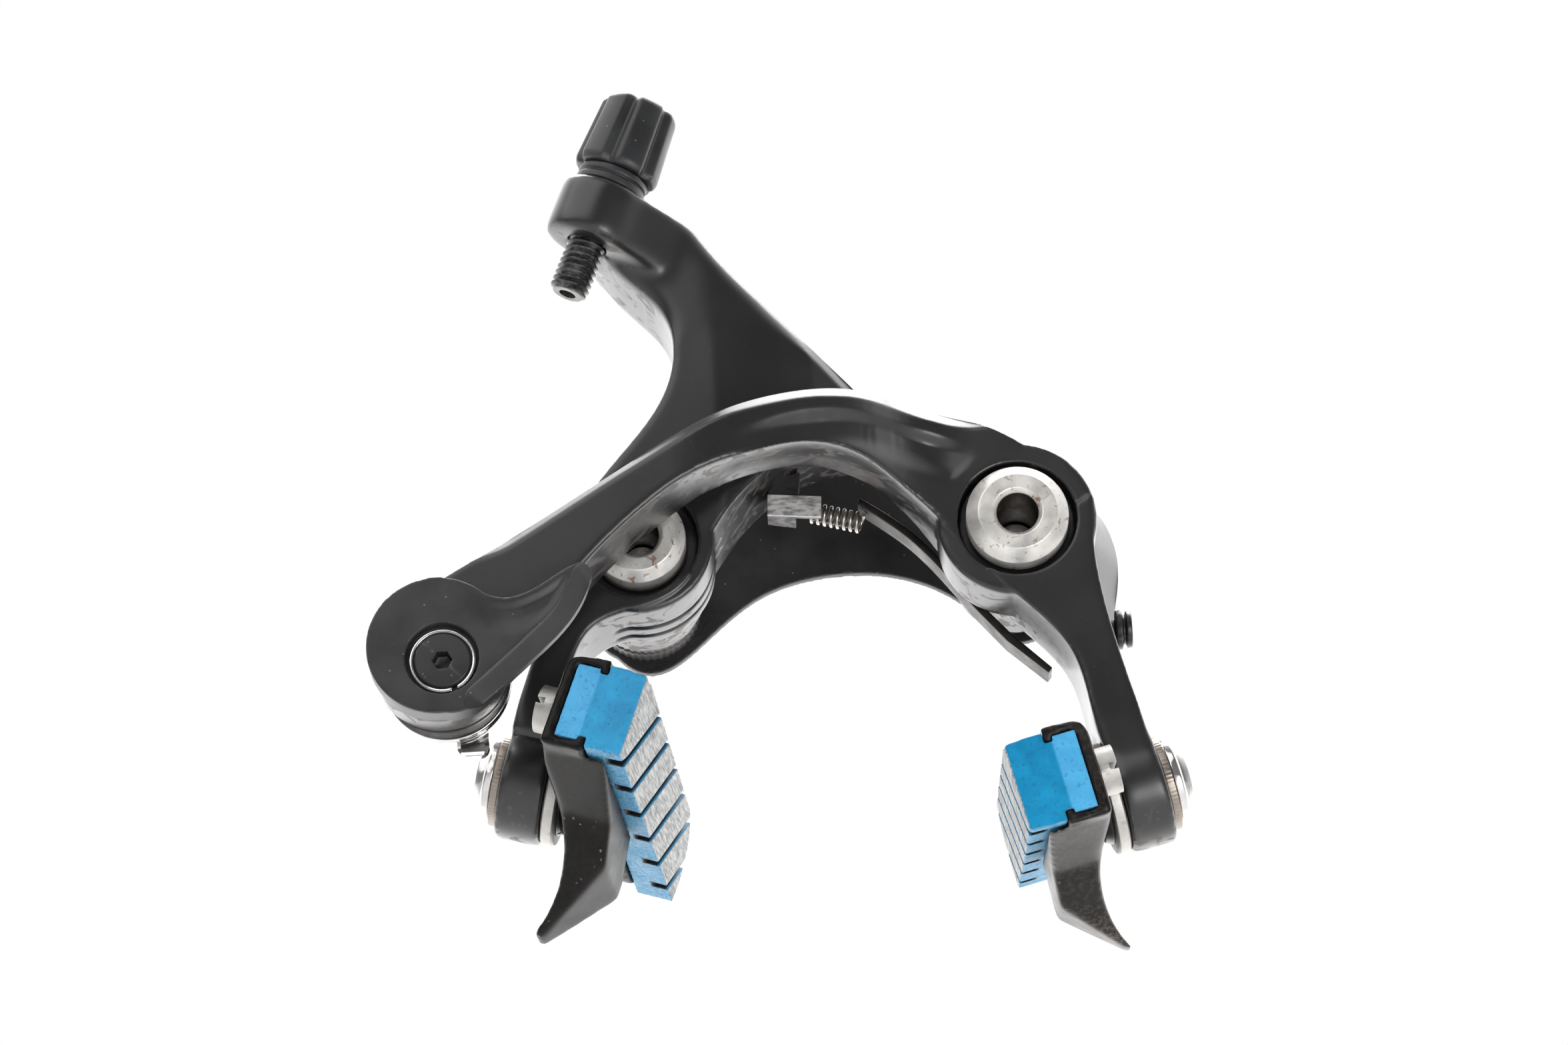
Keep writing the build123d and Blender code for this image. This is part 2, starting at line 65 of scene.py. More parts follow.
# ---- sizes shared with the CAD ----
PIVOT_X = 28.0                          # each pivot's distance from the middle
SHOE_Y = -25.5                          # where the shoe bolts go through the arms
HOLDER_BACK = 6.8                       # from there to the pad holder's back
SHOE_HALF = 27.5                        # half a pad's length
FACE_HEIGHT = 12.2                      # from the holder's back to the braking face
GROOVE_PITCH = 9.2                      # from groove to groove along the pad
GROOVE_TURN = 39.0                      # the grooves' slant
GROOVES = 6
ADJUSTER_FOOT = (-36.7, -34.5, 39.4)    # the lower end of the adjuster's stem
ADJUSTER_LEAN = 23.0                    # the stem's lean to the right
LEVER_AXIS = (-56.2, -23.4)             # x and z of the axis that the lever turns on
LEVER_FRONT = -54.0                     # y of the lever's front face
SCREW_FOOT = (41.3, -14.0, -12.0)       # where the centring screw enters its boss

# sign: the way to the rim along X. eye: x and z of the shoe bolt. tilt: the bolt's fall towards the
# rim. turn: the shoe's own turns about X, Y and Z. lift: the pad's middle above the bolt.
SHOES = {
    "left": {
        "sign": 1, "eye": (-46.0, -34.2), "tilt": 16.0, "turn": (4.0, -7.0, -4.4), "lift": 3.7,
    },
    "right": {
        "sign": -1, "eye": (42.9, -40.8), "tilt": 13.0, "turn": (0.0, -1.8, -7.5), "lift": 1.3,
    },
}


# =================================================================================================
# Frames
# =================================================================================================
def axes(origin, x_axis, z_axis):
    """The matrix of a place: origin in millimetres, x and z as directions."""
    z = Vector(z_axis).normalized()
    x = Vector(x_axis).normalized()
    y = z.cross(x)
    m = Matrix((x, y, z)).transposed().to_4x4()
    m.translation = Vector(origin) * MM
    return m


def arm_frame(side):
    """Where a shoe's bolt goes through the arm: z along the bolt, towards the rim."""
    shoe = SHOES[side]
    lean = math.radians(shoe["tilt"])
    inward = (shoe["sign"] * math.cos(lean), 0, -math.sin(lean))
    return axes((shoe["eye"][0], SHOE_Y, shoe["eye"][1]), (0, shoe["sign"], 0), inward)


def shoe_frame(side):
    """The shoe's own place: x along the pad, y up it, z towards the rim from the holder's back."""
    m = arm_frame(side) @ Matrix.Translation((0, 0, HOLDER_BACK * MM))
    for angle, axis in zip(SHOES[side]["turn"], "XYZ"):
        m = m @ Matrix.Rotation(math.radians(angle), 4, axis)
    return m


LEAN = math.radians(ADJUSTER_LEAN)
ADJUSTER = axes(ADJUSTER_FOOT, (0, 1, 0), (math.sin(LEAN), 0, math.cos(LEAN)))
SCREW = axes(SCREW_FOOT, (0, 1, 0), (1, 0, 0))


def along_y(x, z):
    """A turning axis through (x, z), with heights measured along +Y."""
    return axes((x, 0, z), (1, 0, 0), (0, 1, 0))


# =================================================================================================
# Materials
# =================================================================================================
MIX_A, MIX_B, MIX_RESULT = 6, 7, 2      # a colour Mix node's sockets


def set_range(node, low, high, floor, ceiling):
    """Sets a Map Range node's four limits."""
    limits = {"From Min": low, "From Max": high, "To Min": floor, "To Max": ceiling}
    for name, number in limits.items():
        node.inputs[name].default_value = number


class Finish:
    """One node material on a Principled shader. Textures are placed in the part's own frame."""

    def __init__(self, name, color, roughness, metallic=0.0):
        self.material = bpy.data.materials.new(name)
        self.material.use_nodes = True
        self.tree = self.material.node_tree
        self.shader = self.tree.nodes["Principled BSDF"]
        self.coords = self.tree.nodes.new("ShaderNodeTexCoord")
        self.set("Base Color", color)
        self.set("Roughness", roughness)
        self.set("Metallic", metallic)

    def feed(self, socket, value):
        if isinstance(value, bpy.types.NodeSocket):
            self.tree.links.new(value, socket)
        elif socket.type == "RGBA" and len(value) == 3:
            socket.default_value = (*value, 1.0)
        else:
            socket.default_value = value

    def set(self, name, value):
        self.feed(self.shader.inputs[name], value)

    def place(self, grain, stretch=(1, 1, 1), turn=(0, 0, 0)):
        """Coordinates in which one unit is one grain."""
        node = self.tree.nodes.new("ShaderNodeMapping")
        node.vector_type = "POINT"
        self.feed(node.inputs["Vector"], self.coords.outputs["Object"])
        node.inputs["Rotation"].default_value = [math.radians(t) for t in turn]
        node.inputs["Scale"].default_value = [s / (grain * MM) for s in stretch]
        return node.outputs["Vector"]

    def noise(self, grain, detail=3.0, stretch=(1, 1, 1), turn=(0, 0, 0), warp=0.0):
        node = self.tree.nodes.new("ShaderNodeTexNoise")
        self.feed(node.inputs["Vector"], self.place(grain, stretch, turn))
        node.inputs["Scale"].default_value = 1.0
        node.inputs["Detail"].default_value = detail
        node.inputs["Distortion"].default_value = warp
        return node.outputs["Fac"]

    def specks(self, spacing, size):
        """Sparse dots: 1 in each dot, 0 between them."""
        node = self.tree.nodes.new("ShaderNodeTexVoronoi")
        self.feed(node.inputs["Vector"], self.place(spacing))
        node.inputs["Scale"].default_value = 1.0
        return self.ramp(node.outputs["Distance"], size, size * 0.5)

    def ramp(self, value, low, high, floor=0.0, ceiling=1.0):
        """value from low to high becomes floor to ceiling, and stays within them."""
        node = self.tree.nodes.new("ShaderNodeMapRange")
        self.feed(node.inputs["Value"], value)
        set_range(node, low, high, floor, ceiling)
        return node.outputs["Result"]

    def sum(self, a, b, operation="ADD"):
        node = self.tree.nodes.new("ShaderNodeMath")
        node.operation = operation
        self.feed(node.inputs[0], a)
        self.feed(node.inputs[1], b)
        return node.outputs[0]

    def times(self, a, b):
        return self.sum(a, b, "MULTIPLY")

    def mix(self, amount, a, b):
        node = self.tree.nodes.new("ShaderNodeMix")
        node.data_type = "RGBA"
        self.feed(node.inputs["Factor"], amount)
        self.feed(node.inputs[MIX_A], a)
        self.feed(node.inputs[MIX_B], b)
        return node.outputs[MIX_RESULT]

    def dot(self, vector, axis):
        node = self.tree.nodes.new("ShaderNodeVectorMath")
        node.operation = "DOT_PRODUCT"
        self.feed(node.inputs[0], vector)
        node.inputs[1].default_value = axis
        return node.outputs["Value"]

    def facing(self, axis):
        """How far the surface faces along an axis of the part, from -1 to 1."""
        return self.dot(self.coords.outputs["Normal"], axis)

    def along(self, axis):
        """The place along an axis of the part, in metres."""
        return self.dot(self.coords.outputs["Object"], axis)

    def edges(self, low=0.52, high=0.62):
        """Convex edges, from the mesh's own curvature."""
        node = self.tree.nodes.new("ShaderNodeNewGeometry")
        return self.ramp(node.outputs["Pointiness"], low, high)

    def mark(self, name):
        """A mark stored on the mesh by name."""
        node = self.tree.nodes.new("ShaderNodeAttribute")
        node.attribute_name = name
        return node.outputs["Fac"]

    def bump(self, *layers):
        """Each layer is (height, depth in millimetres)."""
        normal = None
        for height, depth in layers:
            node = self.tree.nodes.new("ShaderNodeBump")
            node.inputs["Strength"].default_value = 1.0
            node.inputs["Distance"].default_value = depth * MM
            self.feed(node.inputs["Height"], height)
            if normal:
                self.feed(node.inputs["Normal"], normal)
            normal = node.outputs["Normal"]
        self.set("Normal", normal)
        return self.material


def scaled(color, factor):
    return tuple(factor * c for c in color)


def anodised():
    """Black anodised alloy: broad clouds, a fine grain, a little dust and stains underneath."""
    f = Finish("arm_anodised", (0.02, 0.02, 0.02), 0.36)
    broad = f.noise(14.0, 3.0)
    fine = f.noise(0.16, 2.0)
    dust = f.times(f.specks(1.5, 0.035), f.ramp(f.noise(9.0), 0.42, 0.6))
    dirt = f.ramp(f.noise(4.0, 5.0, warp=1.6), 0.52, 0.6)
    under = f.times(f.ramp(f.facing((0, 0, -1)), 0.45, 0.8), dirt)
    black = f.mix(f.ramp(broad, 0.3, 0.7), (0.009, 0.009, 0.0095), (0.016, 0.0155, 0.016))
    stained = f.mix(f.times(under, 0.7), black, (0.05, 0.04, 0.034))
    worn = f.mix(f.times(f.edges(0.56, 0.68), 0.35), stained, (0.09, 0.088, 0.085))
    f.set("Base Color", f.mix(f.times(dust, 0.8), worn, (0.32, 0.31, 0.3)))
    f.set("Roughness", f.sum(f.ramp(broad, 0.3, 0.7, 0.26, 0.33), f.times(under, 0.25)))
    f.set("Specular IOR Level", 0.62)
    return f.bump((fine, 0.005), (f.noise(2.6, 2.0), 0.012))


def matte_black(name, color, roughness, grain, depth):
    """Dull black with a bump of the given grain and depth, dusty and rubbed along its edges."""
    f = Finish(name, color, roughness)
    cloud = f.noise(6.0, 4.0)
    worn = f.times(f.edges(), f.ramp(f.noise(2.0, 4.0), 0.45, 0.62))
    lighter = [min(1.0, c * 1.7 + 0.004) for c in color]
    base = f.mix(f.ramp(cloud, 0.35, 0.65), color, lighter)
    dusty = f.mix(f.times(f.specks(1.9, 0.08), 0.5), base, (0.3, 0.29, 0.28))
    f.set("Base Color", f.mix(f.times(worn, 0.5), dusty, (0.16, 0.155, 0.15)))
    f.set("Roughness", f.ramp(cloud, 0.3, 0.7, roughness - 0.06, roughness + 0.06))
    return f.bump((f.noise(grain, 3.0), depth))


DUST_FROM_Z, DUST_FULL_Z = -58.0, -63.0     # dust thickens on the guides between these heights


def holder_finish(side, tone, film):
    """Satin brown-black, dusty low down and scraped along the edges. film is the dust elsewhere."""
    f = Finish(f"holder_painted_{side}", (0.022, 0.019, 0.018), 0.45)
    cloud = f.noise(5.0, 5.0, warp=0.6)
    scrape = f.times(f.edges(0.57, 0.66), f.ramp(f.noise(0.9, 5.0), 0.5, 0.62))
    dark = scaled((0.007, 0.0062, 0.006), tone)
    light = scaled((0.013, 0.0115, 0.0108), tone)
    base = f.mix(f.ramp(cloud, 0.35, 0.68), dark, light)
    low = f.ramp(f.along((0, 0, 1)), DUST_FROM_Z * MM, DUST_FULL_Z * MM)
    dust = f.times(f.ramp(f.noise(0.7, 6.0), 0.46, 0.66), f.sum(f.times(low, 0.55), film))
    dusty = f.mix(dust, base, (0.17, 0.14, 0.11))
    f.set("Base Color", f.mix(f.times(scrape, 0.8), dusty, (0.27, 0.23, 0.19)))
    f.set("Roughness", f.ramp(cloud, 0.3, 0.7, 0.3, 0.42))
    f.set("Specular IOR Level", 0.16)
    return f.bump((f.noise(0.3, 3.0), 0.012), (scrape, -0.04))


RUST = (0.2, 0.085, 0.03)


def steel(name, color, roughness, rust=0.0, scratch=0.0, metal=1.0):
    """Machined or ground steel, with rust specks and scratches to taste."""
    f = Finish(name, color, roughness, 1.0)
    cloud = f.noise(3.0, 4.0)
    lines = f.noise(0.5, 3.0, (1, 14, 1))
    darker = [c * 0.72 for c in color]
    base = f.mix(f.ramp(cloud, 0.35, 0.65), darker, color)
    if rust:
        spots = f.times(f.ramp(f.noise(1.1, 6.0, warp=0.8), 0.6, 0.68), rust)
        base = f.mix(spots, base, RUST)
        f.set("Metallic", f.ramp(spots, 0.0, 1.0, metal, 0.2))
    f.set("Base Color", base)
    f.set("Roughness", f.ramp(cloud, 0.3, 0.7, roughness * 0.8, roughness * 1.25))
    return f.bump((lines, 0.004 + scratch * 0.03), (f.noise(0.35, 3.0), 0.004))


TAB_BACK = (-22.9, -22.7)               # y where the tab's bright front plate ends


def tab_finish():
    """The spring's tab: its front plate scratched bright, the block behind it dark."""
    f = Finish("tab_steel", (0.3, 0.3, 0.3), 0.45)
    lines = f.noise(1.6, 4.0, (1, 1, 3), (0, 25, 0))
    bright = f.mix(f.ramp(lines, 0.36, 0.62), (0.16, 0.155, 0.15), (0.5, 0.485, 0.47))
    behind = f.ramp(f.along((0, 1, 0)), *(y * MM for y in TAB_BACK))
    f.set("Base Color", f.mix(behind, bright, (0.016, 0.015, 0.015)))
    f.set("Roughness", f.ramp(lines, 0.4, 0.6, 0.36, 0.6))
    return f.bump((lines, 0.02), (f.noise(0.4, 4.0), 0.012))


def plastic_ring():
    """Dark worn plastic."""
    f = Finish("bearing_plastic", (0.05, 0.046, 0.044), 0.42)
    cloud = f.noise(2.0, 4.0)
    f.set("Base Color", f.mix(cloud, (0.035, 0.032, 0.031), (0.085, 0.078, 0.074)))
    return f.bump((f.noise(0.3), 0.01))


def rubber_ring():
    """Black rubber, greyed in patches."""
    f = Finish("seal_rubber", (0.012, 0.012, 0.012), 0.62)
    f.set("Base Color", f.mix(f.noise(1.2, 4.0), (0.008, 0.008, 0.008), (0.03, 0.026, 0.022)))
    return f.bump((f.noise(0.3), 0.02))


# Each pad's block: its dark and light blue, the factor that lifts both, and its gloss.
PAD_LOOK = {
    "left": {
        "dark": (0.012, 0.165, 0.325), "light": (0.02, 0.230, 0.420), "lift": 1.35, "gloss": 0.3,
    },
    "right": {
        "dark": (0.003, 0.165, 0.335), "light": (0.008, 0.230, 0.440), "lift": 1.15, "gloss": 0.12,
    },
}
PAD_STEP = (5.3, 5.7)                   # from the holder's back to where the block starts


def pad_finish(side):
    """Blue compound: two blues, dusty below, worn grey with fine striations on the braking face."""
    look = PAD_LOOK[side]
    m = shoe_frame(side)
    length, up, out = (tuple(m.col[i][:3]) for i in range(3))
    f = Finish(f"pad_blue_{side}", (0.02, 0.22, 0.5), 0.5)
    cloud = f.noise(4.0, 5.0, warp=0.5)
    reach = f.sum(f.along(out), -sum(a * b for a, b in zip(m.translation, out)))
    block = f.ramp(reach, *(height * MM for height in PAD_STEP))
    dark, light = (scaled(look[shade], look["lift"]) for shade in ("dark", "light"))
    deep = f.mix(f.ramp(cloud, 0.35, 0.65), dark, light)
    clean = f.mix(f.ramp(cloud, 0.35, 0.65), (0.055, 0.325, 0.600), (0.085, 0.400, 0.690))
    blue = f.mix(block, clean, deep)
    grime = f.ramp(f.noise(0.55, 6.0), 0.56, 0.68)
    blue = f.mix(f.times(grime, 0.35), blue, (0.02, 0.06, 0.1))
    below = f.ramp(f.facing(tuple(-c for c in up)), 0.5, 0.85)
    powder = f.mix(f.ramp(f.noise(0.5, 6.0), 0.36, 0.62), (0.03, 0.15, 0.27), (0.13, 0.29, 0.41))
    blue = f.mix(f.times(below, 0.85), blue, powder)
    pepper = f.times(f.specks(0.75, 0.2), f.ramp(f.noise(2.5), 0.45, 0.6))
    blue = f.mix(f.times(pepper, f.sum(f.times(below, 0.6), 0.15)), blue, (0.015, 0.02, 0.03))
    tilt = math.degrees(math.atan2(length[2], length[1]))
    lines = f.noise(0.35, 5.0, (1, 0.035, 1), (-tilt, 0, 0))
    ash = f.mix(f.ramp(lines, 0.34, 0.66), (0.15, 0.155, 0.155), (0.44, 0.445, 0.435))
    ash = f.mix(f.times(f.ramp(f.noise(1.4, 6.0), 0.56, 0.7), 0.6), ash, (0.08, 0.13, 0.17))
    worn = f.times(f.ramp(f.facing(out), 0.72, 0.93), f.mark("face"))
    color = f.mix(worn, blue, ash)
    # the grooves are painted near black: partly grime, partly painted shade
    f.set("Base Color", f.mix(f.mark("groove"), color, (0.012, 0.017, 0.022)))
    f.set("Specular IOR Level", look["gloss"])
    f.set("Roughness", f.ramp(cloud, 0.3, 0.7, 0.45, 0.66))
    return f.bump((f.times(lines, worn), 0.09), (f.noise(0.4, 4.0), 0.03), (pepper, -0.05))


ARM = anodised()
PLATE = matte_black("plate_black", (0.008, 0.0075, 0.0085), 0.5, 0.5, 0.05)
LEVER = matte_black("lever_black", (0.013, 0.013, 0.0135), 0.44, 0.2, 0.012)
KNOB = matte_black("knob_black", (0.012, 0.0125, 0.0135), 0.42, 0.22, 0.014)
STEM = matte_black("stem_black", (0.010, 0.0095, 0.0095), 0.24, 0.2, 0.01)
SCREW_BLACK = matte_black("screw_black", (0.010, 0.010, 0.0105), 0.36, 0.2, 0.008)
HOLDER = {
    "left": holder_finish("left", tone=0.45, film=0.02),
    "right": holder_finish("right", tone=1.0, film=0.1),
}
BUSH = steel("bush_steel", (0.74, 0.72, 0.685), 0.34, rust=0.8, metal=0.55)
CHROME = steel("chrome_steel", (0.72, 0.71, 0.70), 0.12, rust=0.1)
ZINC = steel("zinc_steel", (0.5, 0.49, 0.47), 0.42, rust=0.25, scratch=1.0)
BRONZE = steel("bronze_steel", (0.33, 0.29, 0.25), 0.36, rust=0.2)
# the inside of a bush's bore: steel painted dark as shade, with rust spots
BORE_SHADE = steel("bore_shade_steel", (0.10, 0.085, 0.07), 0.5, rust=0.9)
STRIP = steel("strip_steel", (0.05, 0.046, 0.044), 0.42, scratch=0.3)
SPRING = steel("spring_steel", (0.5, 0.475, 0.44), 0.3, rust=0.2)
TAB = tab_finish()
LINER = plastic_ring()
SEAL = rubber_ring()


# =================================================================================================
# Mesh tools
# =================================================================================================
WELD_GAP = 0.002                        # CAD corners nearer than this are one point
CREASE = 32.0                           # edges sharper than this get a bevel
WEIGHT_LEVELS = 20                      # steps that a smoothing weight is rounded to
FAR = 1e9                               # beyond any point of the part
TINY = 1e-6
CORNER_SHARE = 0.45                     # the most of a side that one rounded corner takes up


def settle(piece):
    """Gives the piece the mesh that its modifiers make."""
    graph = bpy.context.evaluated_depsgraph_get()
    mesh = bpy.data.meshes.new_from_object(piece.evaluated_get(graph))
    piece.modifiers.clear()
    piece.data = mesh


def points(piece):
    """The piece's vertices, and the way that each one faces."""
    mesh = piece.data
    co = np.empty(len(mesh.vertices) * 3)
    mesh.vertices.foreach_get("co", co)
    normal = np.empty(len(mesh.vertices) * 3, np.float32)
    mesh.vertex_normals.foreach_get("vector", normal)
    return co.reshape(-1, 3) / MM, normal.reshape(-1, 3).astype(float)


def move(piece, co):
    """Puts the piece's vertices at these points."""
    piece.data.vertices.foreach_set("co", (co * MM).ravel())
    piece.data.update()


def mark(piece, name, values):
    """Stores a value for each vertex, for a finish to read by name."""
    attribute = piece.data.attributes.new(name, "FLOAT", "POINT")
    attribute.data.foreach_set("value", values.astype(np.float32))


def smooth(piece, passes, weights=None):
    """Rounds the mesh off, by a share of each point's weight."""
    modifier = piece.modifiers.new("rounding", "SMOOTH")
    modifier.factor = 0.5
    modifier.iterations = passes
    if weights is not None:
        group = piece.vertex_groups.new(name="soft")
        levels = np.round(np.clip(weights, 0, 1) * WEIGHT_LEVELS).astype(int)
        for level in range(1, WEIGHT_LEVELS + 1):
            members = [int(i) for i in np.flatnonzero(levels == level)]
            group.add(members, level / WEIGHT_LEVELS, "REPLACE")
        modifier.vertex_group = "soft"
    settle(piece)
    piece.vertex_groups.clear()


def dress(piece, material):
    """Smooth shading, and one material all over."""
    for polygon in piece.data.polygons:
        polygon.use_smooth = True
    piece.data.materials.clear()
    piece.data.materials.append(material)


def place_piece(piece, node, material):
    """Puts a finished piece in the scene in a CAD node's place."""
    dress(piece, material)
    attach(piece, BODY[node])
    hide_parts(node)


def weld(piece):
    """Joins the CAD mesh's doubled corners."""
    modifier = piece.modifiers.new("weld", "WELD")
    modifier.merge_threshold = WELD_GAP * MM


def skin(node, voxel, passes):
    """A fine even mesh over a CAD node, its edges rounded by the passes."""
    piece = bpy.data.objects.new(f"{node}_skin", NODES[node].data.copy())
    bpy.context.scene.collection.objects.link(piece)
    weld(piece)
    remesh = piece.modifiers.new("remesh", "REMESH")
    remesh.mode = "VOXEL"
    remesh.voxel_size = voxel * MM
    settle(piece)
    smooth(piece, passes)
    return piece


def bevelled(node, width, material, segments=2):
    """A CAD node whose shape is right, with its edges broken and its own finish."""
    piece = NODES[node]
    weld(piece)
    bevel = piece.modifiers.new("edges", "BEVEL")
    bevel.width = width * MM
    bevel.segments = segments
    bevel.limit_method = "ANGLE"
    bevel.angle_limit = math.radians(CREASE)
    bevel.harden_normals = False
    smoother = piece.modifiers.new("shade", "WEIGHTED_NORMAL")
    smoother.keep_sharp = False
    dress(piece, material)


# How far a turned section reaches at an angle a and a height h, as a share of its radius.
SHAPES = {
    "round": lambda a, h: 1.0,
    "hex": lambda a, h: 1.0 / math.cos((a % (math.pi / 3)) - math.pi / 6),
    "lobes": lambda a, h: 1.0 - 0.14 * max(0.0, math.cos(6 * a + 0.6)) ** 2.4,
    "teeth": lambda a, h: 1.0 - 0.012 * (0.5 + 0.5 * math.cos(72 * a)) ** 2,
    "ribs": lambda a, h: 1.0 - 0.02 * (0.5 + 0.5 * math.cos(48 * a)),
    "thread": lambda a, h: 1.0 - 0.17 * abs(2 * ((h - a / math.tau) % 1.0) - 1.0) ** 1.1,
}


def rounded(outline, radius, closed):
    """An outline of (r, h, shape) points with its corners broken by short curves."""
    out = []
    count = len(outline)
    for i, corner in enumerate(outline):
        if not closed and i in (0, count - 1):
            out.append(corner)
            continue
        here = Vector(corner[:2])
        before = Vector(outline[i - 1][:2])
        after = Vector(outline[(i + 1) % count][:2])
        shorter = min((before - here).length, (after - here).length)
        cut = min(radius, shorter * CORNER_SHARE)
        start = here + (before - here).normalized() * cut
        end = here + (after - here).normalized() * cut
        for t in (0.0, 0.25, 0.5, 0.75, 1.0):
            spot = start.lerp(here, t).lerp(here.lerp(end, t), t)
            out.append((spot.x, spot.y, corner[2]))
    return out


def turned(name, outline, place, around=96, soft=0.2):
    """A turned piece. The outline holds (radius, height) or (radius, height, shape) points round
    its section. One that starts and ends at radius 0 is solid, any other one is a ring."""
    outline = [point if len(point) == 3 else (*point, "round") for point in outline]
    solid = outline[0][0] == 0 and outline[-1][0] == 0
    section = rounded(outline, soft, closed=not solid)
    vertices = []
    rings = []
    for radius, height, shape in section:
        first = len(vertices)
        if radius < TINY:
            vertices.append((0, 0, height * MM))
            rings.append([first] * around)
            continue
        for n in range(around):
            angle = math.tau * n / around
            reach = radius * SHAPES[shape](angle, height) * MM
            vertices.append((reach * math.cos(angle), reach * math.sin(angle), height * MM))
        rings.append(list(range(first, first + around)))
    faces = []
    pairs = list(zip(rings, rings[1:])) + ([] if solid else [(rings[-1], rings[0])])
    for low, high in pairs:
        for n in range(around):
            corners = [low[n], low[(n + 1) % around], high[(n + 1) % around], high[n]]
            corners = list(dict.fromkeys(corners))
            if len(corners) > 2:
                faces.append(corners)
    mesh = bpy.data.meshes.new(name)
    mesh.from_pydata(vertices, [], faces)
    mesh.transform(place)
    mesh.update()
    piece = bpy.data.objects.new(name, mesh)
    bpy.context.scene.collection.objects.link(piece)
    outward(piece)
    return piece


def outward(piece):
    """Turns the faces of a closed mesh to face out."""
    mesh = piece.data
    mesh.calc_loop_triangles()
    co = np.array([v.co for v in mesh.vertices])
    tri = np.array([t.vertices for t in mesh.loop_triangles])
    a, b, c = (co[tri[:, corner]] for corner in range(3))
    volume = np.einsum("ij,ij->i", a, np.cross(b, c)).sum()
    if volume < 0:
        mesh.flip_normals()


def curve_points(knots, steps=16):
    """Points along a smooth line through the knots."""
    ends = [2 * np.array(knots[0]) - np.array(knots[1]), *map(np.array, knots)]
    ends.append(2 * np.array(knots[-1]) - np.array(knots[-2]))
    out = []
    for a, b, c, d in zip(ends, ends[1:], ends[2:], ends[3:]):
        for t in np.linspace(0, 1, steps, endpoint=False):
            bend = (2 * a - 5 * b + 4 * c - d) * t**2
            twist = (3 * b - a - 3 * c + d) * t**3
            out.append(0.5 * (2 * b + (c - a) * t + bend + twist))
    return np.array(out)


def distance_to(line, co):
    """How far each point is from a line in the XZ plane."""
    flat = co[:, [0, 2]]
    best = np.full(len(flat), FAR)
    for start, end in zip(line, line[1:]):
        run = end - start
        t = np.clip(((flat - start) @ run) / (run @ run), 0, 1)
        best = np.minimum(best, np.linalg.norm(flat - (start + t[:, None] * run), axis=1))
    return best


def inside(place, co):
    """The points in a place's own frame."""
    m = np.array(place.inverted())
    return co @ m[:3, :3].T + m[:3, 3] / MM


def off_axis(co, x, z):
    """How far each point is from an axis along Y."""
    return np.hypot(co[:, 0] - x, co[:, 2] - z)


def bevel_edge(co, line, front, width, slope=0.9):
    """Cuts a bevel along a line at the front of a piece: the deeper, the nearer to the line."""
    cut = front + (width - distance_to(line, co)) * slope
    co[:, 1] = np.maximum(co[:, 1], np.where(cut > front, cut, -FAR))


def front_along_x(co, spacing=0.5):
    """The piece's foremost Y at each point's X."""
    slot = np.floor(co[:, 0] / spacing).astype(int)
    slot -= slot.min()
    lowest = np.full(slot.max() + 1, FAR)
    np.minimum.at(lowest, slot, co[:, 1])
    kernel = np.ones(5) / 5
    smoothed = np.convolve(np.pad(lowest, 2, mode="edge"), kernel, mode="valid")
    middles = np.arange(len(lowest)) + co[:, 0].min() // spacing + 0.5
    return np.interp(co[:, 0] / spacing, middles, smoothed)


def step(value, low, high):
    """0 below low, 1 above high, smooth between."""
    t = np.clip((value - low) / (high - low), 0, 1)
    return t * t * (3 - 2 * t)


# =================================================================================================
# Arms
# =================================================================================================
# Lines along edges that are reshaped, as x and z.
ARCH_TOP = [
    (-61, -12.5), (-46, -4.2), (-28, 6.6), (-12, 15.2), (2, 18.7), (15, 18.0), (26, 14.2),
    (33, 8.6),
]
ARCH_LOW = [
    (25.5, -10.0), (21.0, -5.4), (15.6, 2.4), (8.0, 8.8), (0, 11.2), (-8.5, 9.8), (-20, 4.0),
    (-33, -6.4),
]
BULGE_EDGE = [(31, 12.6), (40.6, 8.8), (43.6, 1.5), (42.8, -7), (41.4, -16.4)]
WEB_EDGE = [(-21.6, 55.0), (-15.0, 46.4), (-7.0, 37.8), (1.0, 30.0), (8.5, 22.6)]

ARM_VOXEL = 0.26
BORE_EDGE = 9.4                         # the arm stays crisp within this radius of a pivot
BULGE_FRONT = -20.0                     # y where the bulge behind the right hub starts
BULGE_BEVEL = (4.2, 2.4)                # width and slope of its fall to the side
LEG_PASSES = 80                         # smoothing of the legs' ends
EYE_PASSES = 220                        # smoothing that flows the adjuster's eye into the arm
ARCH_DROP = 1.7                         # how much lower the arch's lower edge is at the front
POCKET = 1.2                            # depth of the pocket below the arch's lip
HUB_GROOVES = [(-25.2, 0.45, 0.55), (-21.6, 0.4, 0.5)]      # y, width and depth


def hold_bore(co, x):
    """Weights that keep the edges round a pivot's bore crisp: 0 near it, 1 away from it."""
    return step(off_axis(co, x, 0), BORE_EDGE, BORE_EDGE + 2.0)


